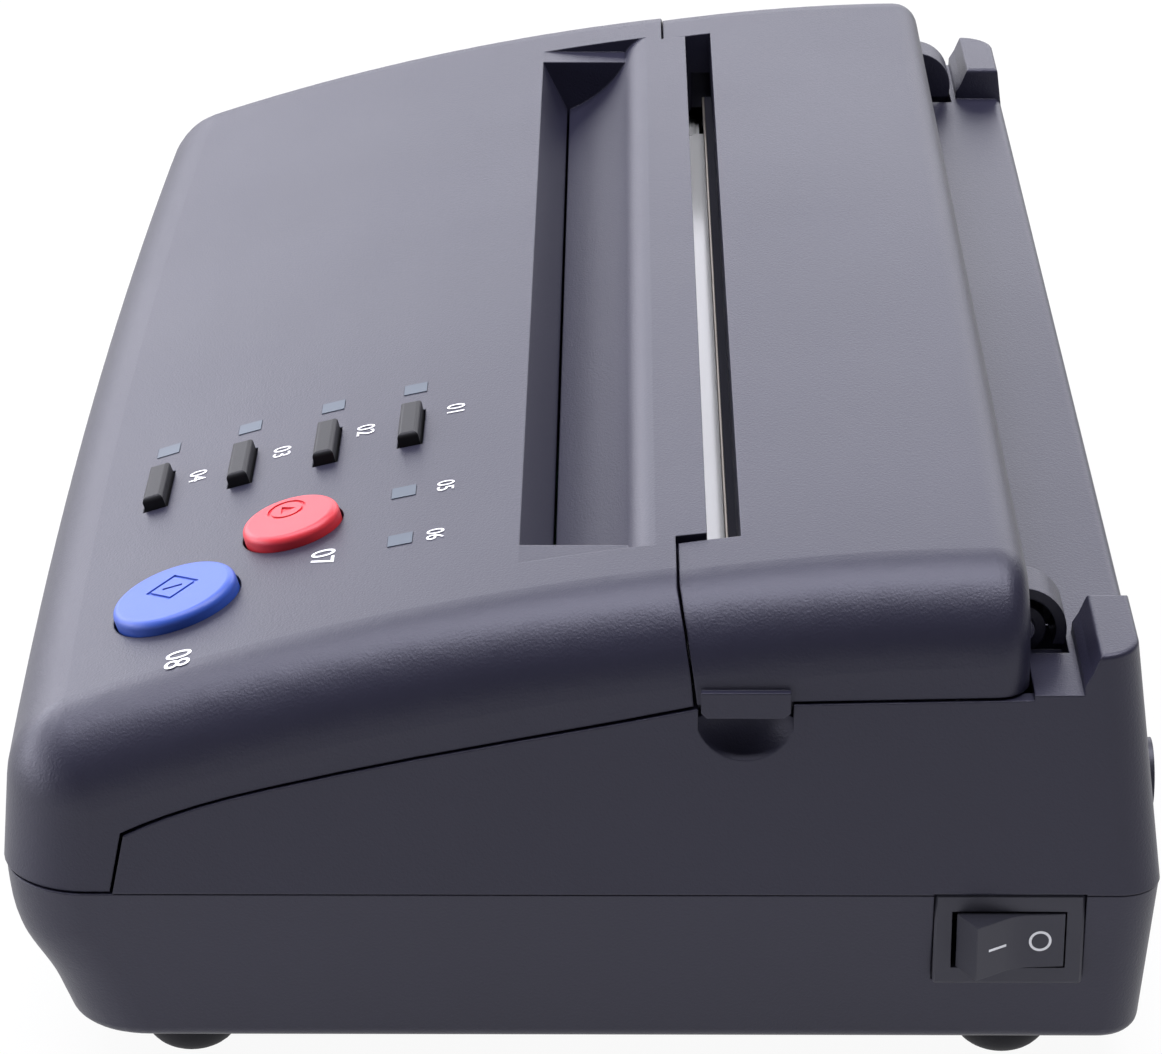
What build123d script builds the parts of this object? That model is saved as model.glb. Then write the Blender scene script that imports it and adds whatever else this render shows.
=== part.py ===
from build123d import *
import math
import os

os.makedirs("parts", exist_ok=True)

# Thermal stencil copier, in millimetres. +X is the machine's right-hand side, -Y its front,
# +Z up. The origin is on the table, under the middle of the machine.

# ---------------------------------------------------------------- driving dimensions
SHIFT_X = -2.0            # brings the middle of the bounding box, switch included, to the origin
PARTING_Z = 30.9          # joint between the base and everything above it
BASE_Z = 5.7              # underside of the base, which stands on its feet
TOP_Z = 76.85             # highest line of the cover's crown
FRONT_Y = -82.7
FRONT_LEAN = 0.085        # how far the front leans back for each millimetre of height
REAR_Y = 81.8
BASE_SET_BACK = 0.5       # how far the base's front lies behind the cover's
CHIN_FOLD = (-80.7, 20.8)
CHIN_FOOT = (-77.2, 14.2)
CHIN_Y = -74.0            # where the sloping chin meets the underside
HALF_BASE = 132.0         # half width at the underside
HALF_PARTING = 135.4      # half width at the parting line, the widest place
HALF_TOP = 132.4          # half width that the side walls lean in to at LEAN_TOP
LEAN_TOP = 77.0
WALL = 2.4
SEAM = 0.4                # visible gap between neighbouring mouldings
TOUCH_GAP = 0.3           # gap at the parting line under the cover
PANEL_GAP = 0.12          # gap at the parting line under the casing
PANEL_PROUD = 0.3         # how far the casing's sides stand out past the cover's

CROWN_R = 409.5           # the cover's top is one long arc from nose to hinge line
CROWN_Y = 63.0            # where that arc is level
LID_TOP_Z = 77.0
LID_CROWN_R = 330.0       # the lid falls away a little faster, so the cover stands proud of it
BOW_R = 3000.0            # the front is bowed in plan by this radius
BOW_ARC = 6.0
CORNER_R = 12.8           # front corners, nose and long top edges

DECK_Z = 61.0             # paper deck behind the lid
DECK_REAR_Y = 78.0
LID_REAR_Y = 62.5
LID_FRONT_Y = 14.7
SLOT_FRONT_Y = 18.7       # document slot between the cover and the lid
SLOT_REAR_Y = 23.4
SLOT_HALF = 110.0
NOTCH_HALF = 112.0

PIVOT_Y = 61.9            # lid hinge line
PIVOT_Z = 64.0
HOOD_R = 6.45
HOOD_IN = 112.0
HOOD_OUT = 119.5
HINGE_PIN_R = 2.0

ROLLER_Z = 49.8
SCAN_Y = 32.5
PLATEN_Y = 51.5
ROLLER_R = 6.2
RUBBER_HALF = 108.0
SHAFT_R = 3.0
BUSH_R = 5.0
RUN_CLEAR = 0.05          # radial clearance of a running fit
HEAD_Z = 56.4             # underside of what presses on the rollers

HEAD_PLATE_Z = 66.2       # underside of the steel carrier in the lid
HEAD_PLATE_T = 1.2
HEAD_SCREWS = ((-100.0, 30.0), (100.0, 30.0), (-100.0, 56.0), (100.0, 56.0))

PLATE_X = 115.5           # inner face of the side plates
PLATE_T = 1.5

GEAR_MODULE = 0.8
ROLLER_TEETH = 20
IDLER_TEETH = 28
PINION_TEETH = 14
GEAR_IN = -119.5          # inner face of the gears
GEAR_W = 5.0
BACKLASH = 0.2

COPY_XY = (100.65, -56.7)
COPY_R = 9.25
STOP_XY = (84.5, -41.1)
STOP_R = 7.3
MODE_X = 57.1
MODE_YS = (-24.9, -37.7, -50.7, -63.5)
MODE_LONG = 12.5
MODE_WIDE = 3.2
LENS_X = 41.7
LENS_SIDE = 3.6
STATUS_LENSES = ((80.4, -25.0), (97.1, -24.8))

SWITCH_Y = 60.6
SWITCH_Z = 23.9
BEZEL_LONG = 20.8
BEZEL_HIGH = 14.3
BEZEL_GAP = 0.15          # gap around the bezel in its pocket
BEZEL_X = 135.2           # outer face of the switch bezel
POCKET_X = 133.0          # floor of the pocket that the bezel lies in

TAB_Y0 = 17.6             # finger tab at the lid's side
TAB_Y1 = 29.8
TAB_Z = 57.8
TAB_OUT = 134.2
TAB_T = 3.2

INLET_X = 112.0
INLET_Z = 37.5
FOOT_XY = ((-121.5, -54.7), (121.5, -54.7), (-121.5, 61.2), (121.5, 61.2))


# ---------------------------------------------------------------- helpers
def crown_z(y, inset=0.0, top=TOP_Z, crown_r=CROWN_R):
    """Height of a crowned top at y, or of the surface that lies inset below it."""
    return top - crown_r + math.sqrt((crown_r - inset) ** 2 - (y - CROWN_Y) ** 2)


def crown_tilt(y):
    """Angle in degrees that the crown falls towards the front at y."""
    return math.degrees(math.asin((CROWN_Y - y) / CROWN_R))


def rear_y(z):
    """Where the outside of the rear wall is at height z."""
    low = PARTING_Z + PANEL_GAP
    return REAR_Y + (DECK_REAR_Y - REAR_Y) * (z - low) / (DECK_Z - low)


def half_width(z):
    """Half width of the casing's side walls at height z."""
    share = (z - PARTING_Z) / (LEAN_TOP - PARTING_Z)
    return HALF_PARTING + (HALF_TOP - HALF_PARTING) * share


def yz(y, z):
    return (0, y, z)


def slab_x(edges, x0, x1):
    """Solid between x0 and x1 over a closed outline of edges in the YZ plane."""
    return Pos(x0, 0, 0) * extrude(make_face(edges), amount=x1 - x0, dir=(1, 0, 0))


def poly_x(points, x0, x1):
    """Solid between x0 and x1 over (y, z) points."""
    return slab_x([Polyline(*[yz(*point) for point in points], close=True)], x0, x1)


def poly_y(points, y0, y1):
    """Solid between y0 and y1 over (x, z) points."""
    outline = Polyline(*[(x, y0, z) for x, z in points], close=True)
    return extrude(make_face(outline), amount=y1 - y0, dir=(0, 1, 0))


def span(x0, x1, y0, y1, z0, z1):
    """Box between the given limits."""
    centre = ((x0 + x1) / 2, (y0 + y1) / 2, (z0 + z1) / 2)
    return Pos(*centre) * Box(x1 - x0, y1 - y0, z1 - z0)


def rod_x(radius, x0, x1, y, z):
    """Round bar along X."""
    return Pos((x0 + x1) / 2, y, z) * Rot(0, 90, 0) * Cylinder(radius, abs(x1 - x0))


def rod_z(radius, x, y, z0, z1):
    """Round bar along Z."""
    return Pos(x, y, (z0 + z1) / 2) * Cylinder(radius, z1 - z0)


def both_sides(shape):
    """The shape and its mirror image across the middle of the machine."""
    return [shape, mirror(shape, Plane.YZ)]


def fuse(first, others):
    for other in others:
        first = first + other
    return first


def cut(first, others):
    for other in others:
        first = first - other
    return first


def pick(shape, test):
    """Edges of the shape whose middle passes the test."""
    return [edge for edge in shape.edges() if test(edge @ 0.5, edge)]


def panel(x, y, inset=0.0):
    """Frame on the cover's crown at x, y: its Z axis is square to the surface."""
    return Location((x, y, crown_z(y)), (crown_tilt(y), 0, 0)) * Pos(0, 0, -inset)


def save(shape, name):
    solids = [Pos(SHIFT_X, 0, 0) * solid for solid in shape.solids()]
    body = solids[0] if len(solids) == 1 else Compound(children=solids)
    body.label = name
    export_step(body, "parts/" + name + ".step")


# ---------------------------------------------------------------- outer forms
def bowed(edges):
    """A closed YZ outline swept on the front's plan radius, so that its front is bowed."""
    axis = Axis((0, FRONT_Y + BOW_R, 0), (0, 0, 1))
    swept = revolve(make_face(edges), axis, BOW_ARC)
    return swept.rotate(axis, -BOW_ARC / 2)


def upper_form(inset, top=TOP_Z, crown_r=CROWN_R):
    """Everything above the parting line as one rounded solid, or its inside."""
    front = FRONT_Y + inset
    back = 92.0
    upright = bowed([Polyline(
        yz(front, PARTING_Z), yz(back, PARTING_Z), yz(back, 90.0),
        yz(front + FRONT_LEAN * (90.0 - PARTING_Z), 90.0), close=True,
    )])
    ahead = FRONT_Y - 5.0
    crown = ThreePointArc(
        yz(back, crown_z(back, inset, top, crown_r)), yz(0, crown_z(0, inset, top, crown_r)),
        yz(ahead, crown_z(ahead, inset, top, crown_r)),
    )
    rest = Polyline(
        yz(ahead, crown_z(ahead, inset, top, crown_r)), yz(ahead, 20.0), yz(back, 20.0),
        yz(back, crown_z(back, inset, top, crown_r)),
    )
    wide = HALF_PARTING - PANEL_PROUD - inset
    narrow = HALF_TOP - PANEL_PROUD - inset
    section = [(-wide, PARTING_Z), (wide, PARTING_Z), (narrow, LEAN_TOP), (-narrow, LEAN_TOP)]
    solid = upright & slab_x([crown, rest], -150, 150) & poly_y(section, -100, 85)
    long_edges = pick(solid, lambda p, e: p.Z > 50 and abs(p.X) > 100 and e.length > 100)
    nose = pick(solid, lambda p, e: p.Y < -75 and p.Z > 45 and abs(p.X) < 5)
    corners = pick(solid, lambda p, e: p.Y < -75 and 33 < p.Z < 46 and abs(p.X) > 100)
    return fillet(long_edges + nose + corners, CORNER_R - inset)


def base_form(inset):
    """The base as one rounded solid, or its inside. Its chin folds back under the front."""
    front = FRONT_Y + BASE_SET_BACK + inset
    low = BASE_Z + inset
    chin = Spline(
        yz(front, PARTING_Z), yz(front + 0.6, 24.0), yz(CHIN_FOLD[0] + inset, CHIN_FOLD[1]),
        yz(CHIN_FOOT[0] + inset, CHIN_FOOT[1]), yz(CHIN_Y + inset, low),
        tangents=[(0, 0.03, -1), (0, 0.4, -0.92)],
    )
    rest = Polyline(yz(CHIN_Y + inset, low), yz(92.0, low), yz(92.0, PARTING_Z), yz(front, PARTING_Z))
    wide = HALF_PARTING - inset
    narrow = HALF_BASE - inset
    leaning = poly_y([(-narrow, low), (narrow, low), (wide, PARTING_Z), (-wide, PARTING_Z)], -100, 100)
    solid = bowed([chin, rest]) & leaning
    front_corners = pick(solid, lambda p, e: p.Y < -69 and low + 0.1 < p.Z < 30.8 and abs(p.X) > 100)
    solid = fillet(front_corners, 12.0 - inset)
    rear = [(-100, 0), (79.7 - inset, 0), (82.0 - inset, 36.0), (-100, 36.0)]
    solid = solid & poly_x(rear, -150, 150)
    rear_corners = pick(solid, lambda p, e: p.Y > 75 and abs(p.X) > 120 and low + 1 < p.Z < 30)
    solid = fillet(rear_corners, 6.0 - inset)
    return fillet(pick(solid, lambda p, e: p.Z < low + 0.01), 2.2 - inset / 2)


# Side seam between the cover and the side panel, as (y, z) from the front up to the lid.
SEAM_FOOT = (-64.0, PARTING_Z + TOUCH_GAP)
SEAM_LINE = ((-62.2, 40.1), (-51.0, 44.5), (-39.9, 47.5), (-23.5, 51.2), (16.6, 59.2))
# Edge of the cover beside the lid, from the top down to the seam.
LID_SEAM = ((14.3, 90.0), (14.3, 73.0), (14.55, 72.2), (15.3, 68.8), (16.2, 63.1), (16.6, 59.2))
LID_SILL = ((17.1, 59.4), (30.0, 59.9), (LID_REAR_Y, 60.6))


def cover_zone():
    """Where the front cover is, seen from the side."""
    edge = Spline(*[yz(*point) for point in SEAM_LINE])
    beside_lid = [yz(*point) for point in reversed(LID_SEAM)]
    around = Polyline(
        *beside_lid, yz(-95.0, 90.0), yz(-95.0, SEAM_FOOT[1]), yz(*SEAM_FOOT), yz(*SEAM_LINE[0]),
    )
    return slab_x([edge, around], -150, 150)


def lid_zone():
    """Where the lid is, seen from the side."""
    front = [(y + SEAM, z) for y, z in LID_SEAM[:-1]]
    return poly_x(front + list(LID_SILL) + [(LID_REAR_Y, 90.0)], -150, 150)


def casing_zone():
    """Where the side panels, rear wall and deck are, seen from the side."""
    first_y, first_z = SEAM_LINE[0]
    heel = (first_y + SEAM, first_z - SEAM)
    end = (SEAM_LINE[-1][0] + SEAM, SEAM_LINE[-1][1] - SEAM)
    edge = Spline(yz(*heel), *[yz(y, z - SEAM) for y, z in SEAM_LINE[1:-1]], yz(*end))
    around = Polyline(
        yz(*end),
        yz(LID_SILL[1][0], LID_SILL[1][1] - SEAM),
        yz(LID_REAR_Y + SEAM, LID_SILL[2][1] - SEAM),
        yz(LID_REAR_Y + SEAM, DECK_Z),
        yz(DECK_REAR_Y, DECK_Z),
        yz(REAR_Y, PARTING_Z + PANEL_GAP),
        yz(SEAM_FOOT[0] + SEAM, PARTING_Z + PANEL_GAP),
        yz(*heel),
    )
    return [edge, around]


# ---------------------------------------------------------------- base
SCREW_SPOTS = ((122.0, -66.0), (121.0, 75.0))
BOARD_POSTS = ((-55.0, -62.0), (55.0, -62.0), (-55.0, -8.0), (55.0, -8.0))
POWER_POSTS = ((72.0, -50.0), (114.0, -50.0), (72.0, 0.0), (114.0, 0.0))
BOARD_Z = 13.0
FRAME_SCREWS = ((62.0, 12.0), (62.0, 52.0), (111.0, 12.0), (111.0, 44.0))
PAN_Z = 11.5
FLOOR_Z = BASE_Z + WALL


def screw_well(x, y):
    """Column in the base that a long case screw goes up through."""
    return rod_z(4.4, x, y, BASE_Z, PARTING_Z)


def screw_bore(x, y):
    return rod_z(3.2, x, y, BASE_Z, 24.0) + rod_z(1.7, x, y, 20.0, PARTING_Z)


def build_base_shell():
    shell = base_form(0.0) - base_form(WALL)
    inside = span(-140, 140, -100, 100, BASE_Z, PARTING_Z) & base_form(0.0)
    pads = []
    for x, y in SCREW_SPOTS:
        pads += both_sides(screw_well(x, y))
    for x, y in FOOT_XY:
        pads.append(rod_z(8.8, x, y, BASE_Z, FLOOR_Z + 1.0))
    for x, y in BOARD_POSTS:
        pads.append(rod_z(3.0, x, y, BASE_Z + 1, 13.0))
    for x, y in POWER_POSTS:
        pads.append(rod_z(3.0, x, y, BASE_Z + 1, 13.0))
    for x, y in FRAME_SCREWS:
        pads += both_sides(rod_z(4.0, x, y, BASE_Z + 1, PAN_Z))
    pads.append(span(POCKET_X - WALL, 136, SWITCH_Y - 12.6, SWITCH_Y + 12.6, 13.0, PARTING_Z))
    shell = fuse(shell, [pad & inside for pad in pads])
    holes = []
    for x, y in SCREW_SPOTS:
        holes += both_sides(screw_bore(x, y))
    for x, y in FOOT_XY:
        holes.append(rod_z(7.25, x, y, BASE_Z - 1, BASE_Z + 1.0))
    for x, y in FRAME_SCREWS:
        holes += both_sides(rod_z(1.4, x, y, FLOOR_Z, PAN_Z + 1))
    for x, y in BOARD_POSTS + POWER_POSTS:
        holes.append(rod_z(1.2, x, y, FLOOR_Z, 14))
    for row in range(8):
        y = -44.0 + 6.0 * row
        holes.append(span(76, 110, y - 1.25, y + 1.25, BASE_Z - 1, FLOOR_Z + 1))
    half_long = BEZEL_LONG / 2 + BEZEL_GAP
    half_high = BEZEL_HIGH / 2 + BEZEL_GAP
    holes.append(
        span(POCKET_X, 140, SWITCH_Y - half_long, SWITCH_Y + half_long,
             SWITCH_Z - half_high, PARTING_Z + 1)
    )
    holes.append(span(125, 140, SWITCH_Y - 9.6, SWITCH_Y + 9.6, SWITCH_Z - 6.2, SWITCH_Z + 6.2))
    return cut(shell, holes)


# ---------------------------------------------------------------- casing
POST_Z = 66.8             # top of the posts at the rear corners
POCKET_IN = 110.1
POCKET_OUT = 121.9
POCKET_Y0 = 58.2
POCKET_Y1 = 70.2
POCKET_WALL = 1.5
POCKET_FLOOR = 57.2
LUG_IN = 115.2
LUG_OUT = 119.0
LUG_R = 3.6


def rear_post():
    """Upright at a rear corner of the deck, level with the rear and side walls."""
    outline = [
        (69.6, DECK_Z - 1), (69.7, 62.4), (70.6, 64.0), (71.7, POST_Z),
        (rear_y(POST_Z), POST_Z), (rear_y(DECK_Z - 1), DECK_Z - 1),
    ]
    return poly_x(outline, 113.5, 145.0)


def pocket_room():
    wall = POCKET_WALL
    return span(POCKET_IN + wall, POCKET_OUT - wall, POCKET_Y0 + wall, POCKET_Y1 - wall, POCKET_FLOOR, 80)


def hinge_pocket():
    """Well in the deck that lets the lid's hinge hoods turn down."""
    wall = POCKET_WALL
    block = span(POCKET_IN, POCKET_OUT, POCKET_Y0, POCKET_Y1, POCKET_FLOOR - wall, DECK_Z)
    front_cut = span(POCKET_IN - 1, POCKET_OUT + 1, POCKET_Y0 - 1, LID_REAR_Y + SEAM, 58.6, DECK_Z + 5)
    return block - pocket_room() - front_cut


def hinge_lug():
    """Ear that holds the hinge pin, on a stem set forward of the hood's sweep."""
    ear = rod_x(LUG_R, LUG_IN, LUG_OUT, PIVOT_Y, PIVOT_Z)
    ear = ear + span(LUG_IN, LUG_OUT, PIVOT_Y - 4.9, PIVOT_Y - 1.6, POCKET_FLOOR - 1, PIVOT_Z)
    return ear - rod_x(HINGE_PIN_R, LUG_IN - 1, LUG_OUT + 1, PIVOT_Y, PIVOT_Z)


def finger_scoop():
    """Hollow under the lid's finger tab, deepest at the top."""
    middle = (TAB_Y0 + TAB_Y1) / 2
    bowl = Pos(half_width(57.5) + 4.2, middle, 58.6) * Sphere(8.2)
    return bowl & span(120, 140, TAB_Y0 - 0.4, TAB_Y1 + 0.4, 50, 70)


def wall_wedge(wide, narrow, back):
    """Solid between the two leaning side walls, from the parting line up."""
    low = PARTING_Z + PANEL_GAP
    return poly_y([(-wide, low), (wide, low), (narrow, LEAN_TOP), (-narrow, LEAN_TOP)], -100, back)


def build_body_casing():
    outline = casing_zone()
    low = PARTING_Z + PANEL_GAP
    wide = half_width(low)
    narrow = half_width(LEAN_TOP)
    leaning = wall_wedge(wide, narrow, 100)
    block = fuse(slab_x(outline, -150, 150), both_sides(rear_post())) & leaning
    rear_edges = pick(block, lambda p, e: p.Y > 75 and abs(p.X) > 120 and 33 < p.Z < 60 and e.length > 20)
    block = fillet(rear_edges, 6.0)
    block = fillet(pick(block, lambda p, e: p.Z > POST_Z - 0.01), 0.7)
    block = fillet(pick(block, lambda p, e: p.Y > 76 and abs(p.X) < 5 and p.Z > DECK_Z - 0.5), 1.5)
    inner_wide = wide - WALL
    inner_narrow = narrow - WALL
    inside = wall_wedge(inner_wide, inner_narrow, 90)
    deck_under = DECK_Z - WALL
    room = [
        (-100, low - 1), (REAR_Y - WALL, low - 1), (DECK_REAR_Y - WALL, deck_under),
        (LID_REAR_Y + SEAM, deck_under), (LID_REAR_Y + SEAM, 90), (-100, 90),
    ]
    casing = block - (inside & poly_x(room, -150, 150))
    extras = [poly_x([(58.4, 54.2), (59.6, 53.4), (65.2, 58.8), (64.0, 60.6), (63.0, 60.4)], -108.5, 108.5)]
    extras += both_sides(hinge_pocket())
    x, y = SCREW_SPOTS[1]
    extras += both_sides(rod_z(4.0, x, y, low, deck_under + 0.5) & slab_x(outline, -150, 150))
    pad = span(126, 134.5, 15.6, 31.8, 48.0, 61.0) & slab_x(outline, -150, 150)
    extras += both_sides(pad & leaning)
    casing = fuse(casing, extras)
    cuts = []
    tab_room = span(TAB_OUT - TAB_T - 0.4, 140, TAB_Y0 - 0.4, TAB_Y1 + 0.4, TAB_Z - 0.4, 65)
    for shape in (pocket_room(), tab_room, finger_scoop(), rod_z(1.5, x, y, low - 1, 46.0)):
        cuts += both_sides(shape)
    half_long = BEZEL_LONG / 2 + BEZEL_GAP
    bezel_top = SWITCH_Z + BEZEL_HIGH / 2 + BEZEL_GAP
    cuts.append(span(POCKET_X, 140, SWITCH_Y - half_long, SWITCH_Y + half_long, 30, bezel_top))
    cuts.append(Pos(INLET_X, 80, INLET_Z) * Rot(90, 0, 0) * Cylinder(4.6, 20))
    casing = cut(casing, cuts)
    return fuse(casing, both_sides(hinge_lug()))


# ---------------------------------------------------------------- front cover
RECESS_HALF = 106.1
RECESS_FRONT = -7.6
LEDGE_Z = crown_z(RECESS_FRONT)         # the ledges start level with the recess' front edge
SLIT_Y = -3.15            # foot of the recess' front wall
LIP = (-2.7, 61.5)        # edge of the ramp over the slit
RAMP_MIDDLE = (3.3, 65.3)
RAMP_KNEE = (7.7, LEDGE_Z)
RAMP_BREAK = (9.5, 72.72)
RAMP_TOP = (11.95, crown_z(11.95) + 0.02)
SKIN = 2.2


def recess_cut():
    """Feed recess: a steep front wall, a slit at its foot and a hollow ramp behind it."""
    ramp = ThreePointArc(yz(*RAMP_KNEE), yz(*RAMP_MIDDLE), yz(*LIP))
    rest = Polyline(
        yz(*LIP), yz(LIP[0], 57.0), yz(SLIT_Y, 57.0), yz(SLIT_Y, LIP[1]),
        yz(RECESS_FRONT, LEDGE_Z), yz(RECESS_FRONT, 80), yz(RAMP_KNEE[0], 80), yz(*RAMP_KNEE),
    )
    return slab_x([ramp, rest], -RECESS_HALF, RECESS_HALF)


def recess_backing():
    """Material under the recess, from which its walls are made."""
    points = [
        (RECESS_FRONT - SKIN, 71.0), (SLIT_Y - SKIN, 60.0), (SLIT_Y - SKIN, 58.4), (-1.0, 58.4),
        (5.4, 63.0), (13.4, 70.4), (13.4, 72.0), (RECESS_FRONT, 72.0),
    ]
    return poly_x(points, -RECESS_HALF - SKIN, RECESS_HALF + SKIN)


def ramp_rounding():
    """Flat ledge beside each end of the recess, and the rounding from the ramp to the crown."""
    rounding = ThreePointArc(yz(*RAMP_KNEE), yz(*RAMP_BREAK), yz(*RAMP_TOP))
    rest = Polyline(
        yz(*RAMP_TOP), yz(RAMP_TOP[0], 80), yz(RECESS_FRONT - 4, 80), yz(RECESS_FRONT - 4, LEDGE_Z),
        yz(*RAMP_KNEE),
    )
    return slab_x([rounding, rest], -NOTCH_HALF, NOTCH_HALF)


def button_holes():
    holes = []
    for (x, y), radius in ((COPY_XY, COPY_R), (STOP_XY, STOP_R)):
        holes.append(panel(x, y) * Cylinder(radius + 0.35, 16))
    for y in MODE_YS:
        holes.append(panel(MODE_X, y) * Box(MODE_LONG + 0.7, MODE_WIDE + 0.7, 14))
        holes.append(panel(LENS_X, y) * Box(LENS_SIDE, LENS_SIDE, 14))
    for x, y in STATUS_LENSES:
        holes.append(panel(x, y) * Box(LENS_SIDE, LENS_SIDE, 14))
    return holes


BOARD_Y = -44.5           # middle of the key board under the panel
BOARD_DROP = 12.0         # how far its top lies below the crown there
BOARD_LONG = 92.0
BOARD_WIDE = 52.0
BOARD_X = 70.0


def key_board_frame():
    return panel(BOARD_X, BOARD_Y, BOARD_DROP)


def build_front_cover():
    outer = upper_form(0.0) & cover_zone()
    shell = outer - upper_form(WALL)
    rear_wall = span(-SLOT_HALF, SLOT_HALF, SLOT_FRONT_Y - 1.8, SLOT_FRONT_Y, 58.5, 73.2)
    shell = fuse(shell, [recess_backing() & upper_form(0.5), rear_wall])
    tail = upper_form(0.0) & span(-SLOT_HALF, SLOT_HALF, LID_FRONT_Y - 3, SLOT_FRONT_Y, 60, 80)
    shell = shell + (tail - upper_form(WALL))
    bosses = []
    x, y = SCREW_SPOTS[0]
    bosses += both_sides(rod_z(4.0, x, y, PARTING_Z + TOUCH_GAP, 70))
    for dx, dy in board_corners():
        bosses.append(key_board_frame() * Pos(dx, dy, 8) * Cylinder(2.6, 16))
    shell = fuse(shell, [boss & upper_form(0.6) for boss in bosses])
    cuts = [ramp_rounding(), recess_cut()]
    cuts += button_holes()
    for dx, dy in board_corners():
        cuts.append(key_board_frame() * Pos(dx, dy, 2.5) * Cylinder(1.2, 5.4))
    cuts += both_sides(rod_z(1.5, x, y, PARTING_Z - 1, 45))
    return cut(shell, cuts)


# ---------------------------------------------------------------- lid
def build_lid_shell():
    outer = upper_form(0.0, LID_TOP_Z, LID_CROWN_R) & lid_zone()
    rear_top = pick(outer, lambda p, e: p.Y > LID_REAR_Y - 0.01 and p.Z > 62.5)
    outer = fillet(rear_top, 4.5)
    inside = upper_form(WALL, LID_TOP_Z, LID_CROWN_R)
    inner = inside & span(-150, 150, LID_FRONT_Y + 2.0 + WALL, LID_REAR_Y - WALL, 40, 90)
    slot = span(-NOTCH_HALF + 0.6, NOTCH_HALF - 0.6, 0, SLOT_REAR_Y, 40, 90)
    kept = span(-NOTCH_HALF - 1.6, NOTCH_HALF + 1.6, 0, SLOT_REAR_Y + WALL, 40, 90)
    shell = (outer - slot) - (inner - kept)
    shell = shell - span(-108, 108, 58, 70, 55, 66)
    shell = shell - span(-113, 113, 20, 26.5, 55, 66.8)
    extras = []
    for shape in (finger_tab(), hinge_hood(), hinge_ear()):
        extras += both_sides(shape)
    for x in (-80.0, -27.0, 27.0, 80.0):
        rib = span(x - 0.9, x + 0.9, 25, 61, HEAD_PLATE_Z + HEAD_PLATE_T, 80)
        extras.append(rib & upper_form(1.0))
    for x, y in HEAD_SCREWS:
        extras.append(rod_z(3.4, x, y, HEAD_PLATE_Z + HEAD_PLATE_T, 80) & upper_form(1.0))
    shell = fuse(shell, extras)
    cuts = []
    for shape in (lug_room(), rod_x(HINGE_PIN_R + RUN_CLEAR, 111, 115.1, PIVOT_Y, PIVOT_Z)):
        cuts += both_sides(shape)
    for x, y in HEAD_SCREWS:
        cuts.append(rod_z(1.25, x, y, HEAD_PLATE_Z, HEAD_PLATE_Z + 6.0))
    return cut(shell, cuts)


def finger_tab():
    """Tab at the lid's side that a finger lifts."""
    outline = [
        (TAB_Y0, 61.6), (TAB_Y0, TAB_Z + 0.8), (TAB_Y0 + 0.8, TAB_Z),
        (TAB_Y1 - 0.8, TAB_Z), (TAB_Y1, TAB_Z + 0.8), (TAB_Y1, 61.6),
    ]
    return poly_x(outline, TAB_OUT - TAB_T, TAB_OUT)


def hinge_hood():
    """Quarter-round cover over the hinge, closed at its inner end."""
    tube = rod_x(HOOD_R, HOOD_IN, HOOD_OUT, PIVOT_Y, PIVOT_Z)
    tube = tube - rod_x(HOOD_R - 1.5, HOOD_IN + 1.2, 122, PIVOT_Y, PIVOT_Z)
    return tube & span(110, 122, PIVOT_Y - 0.5, 80, PIVOT_Z - 2.1, 80)


def hinge_ear():
    """Bearing ear of the lid, beside the casing's hinge lug."""
    ear = rod_x(3.6, HOOD_IN, LUG_IN - 0.4, PIVOT_Y, PIVOT_Z)
    web = span(HOOD_IN, LUG_IN - 0.4, LID_REAR_Y - WALL, LID_REAR_Y, PIVOT_Z, 70)
    return ear + web


def lug_room():
    """Clearance in the lid's rear wall for the casing's hinge lug."""
    x0 = LUG_IN - 0.35
    x1 = LUG_OUT + 0.7
    room = rod_x(LUG_R + 0.5, x0, x1, PIVOT_Y, PIVOT_Z)
    return room + span(x0, x1, PIVOT_Y - 5.4, PIVOT_Y + LUG_R - 0.6, 55, PIVOT_Z)


# ---------------------------------------------------------------- gears
def gear_outline(teeth, phase):
    """Involute tooth outline about the origin, with a gap centred on the phase angle."""
    pitch_r = GEAR_MODULE * teeth / 2
    pressure = math.radians(20)
    base_r = pitch_r * math.cos(pressure)
    tip_r = pitch_r + 0.9 * GEAR_MODULE
    root_r = pitch_r - 1.25 * GEAR_MODULE
    half_tooth = (math.pi * GEAR_MODULE / 2 - BACKLASH) / (2 * pitch_r)
    involute_at_pitch = math.tan(pressure) - pressure
    start_r = max(base_r, root_r)
    flank = []
    for step in range(4):
        radius = start_r + (tip_r - start_r) * step / 3
        angle = math.acos(min(1.0, base_r / radius))
        flank.append((radius, half_tooth + involute_at_pitch - (math.tan(angle) - angle)))
    points = []
    for tooth in range(teeth):
        middle = phase + math.pi / teeth + 2 * math.pi * tooth / teeth
        points.append((root_r, middle - flank[0][1]))
        points += [(radius, middle - half) for radius, half in flank]
        points += [(radius, middle + half) for radius, half in reversed(flank)]
        points.append((root_r, middle + flank[0][1]))
    return [(radius * math.cos(angle), radius * math.sin(angle)) for radius, angle in points]


def spur_gear(teeth, y, z, phase, bore_r, x0, width):
    """Gear at y, z. The phase is the angle from +Y to the middle of a tooth gap."""
    outline = [(y + u, z + v) for u, v in gear_outline(teeth, phase)]
    return poly_x(outline, x0, x0 + width) - rod_x(bore_r, x0 - 1, x0 + width + 1, y, z)


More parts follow.
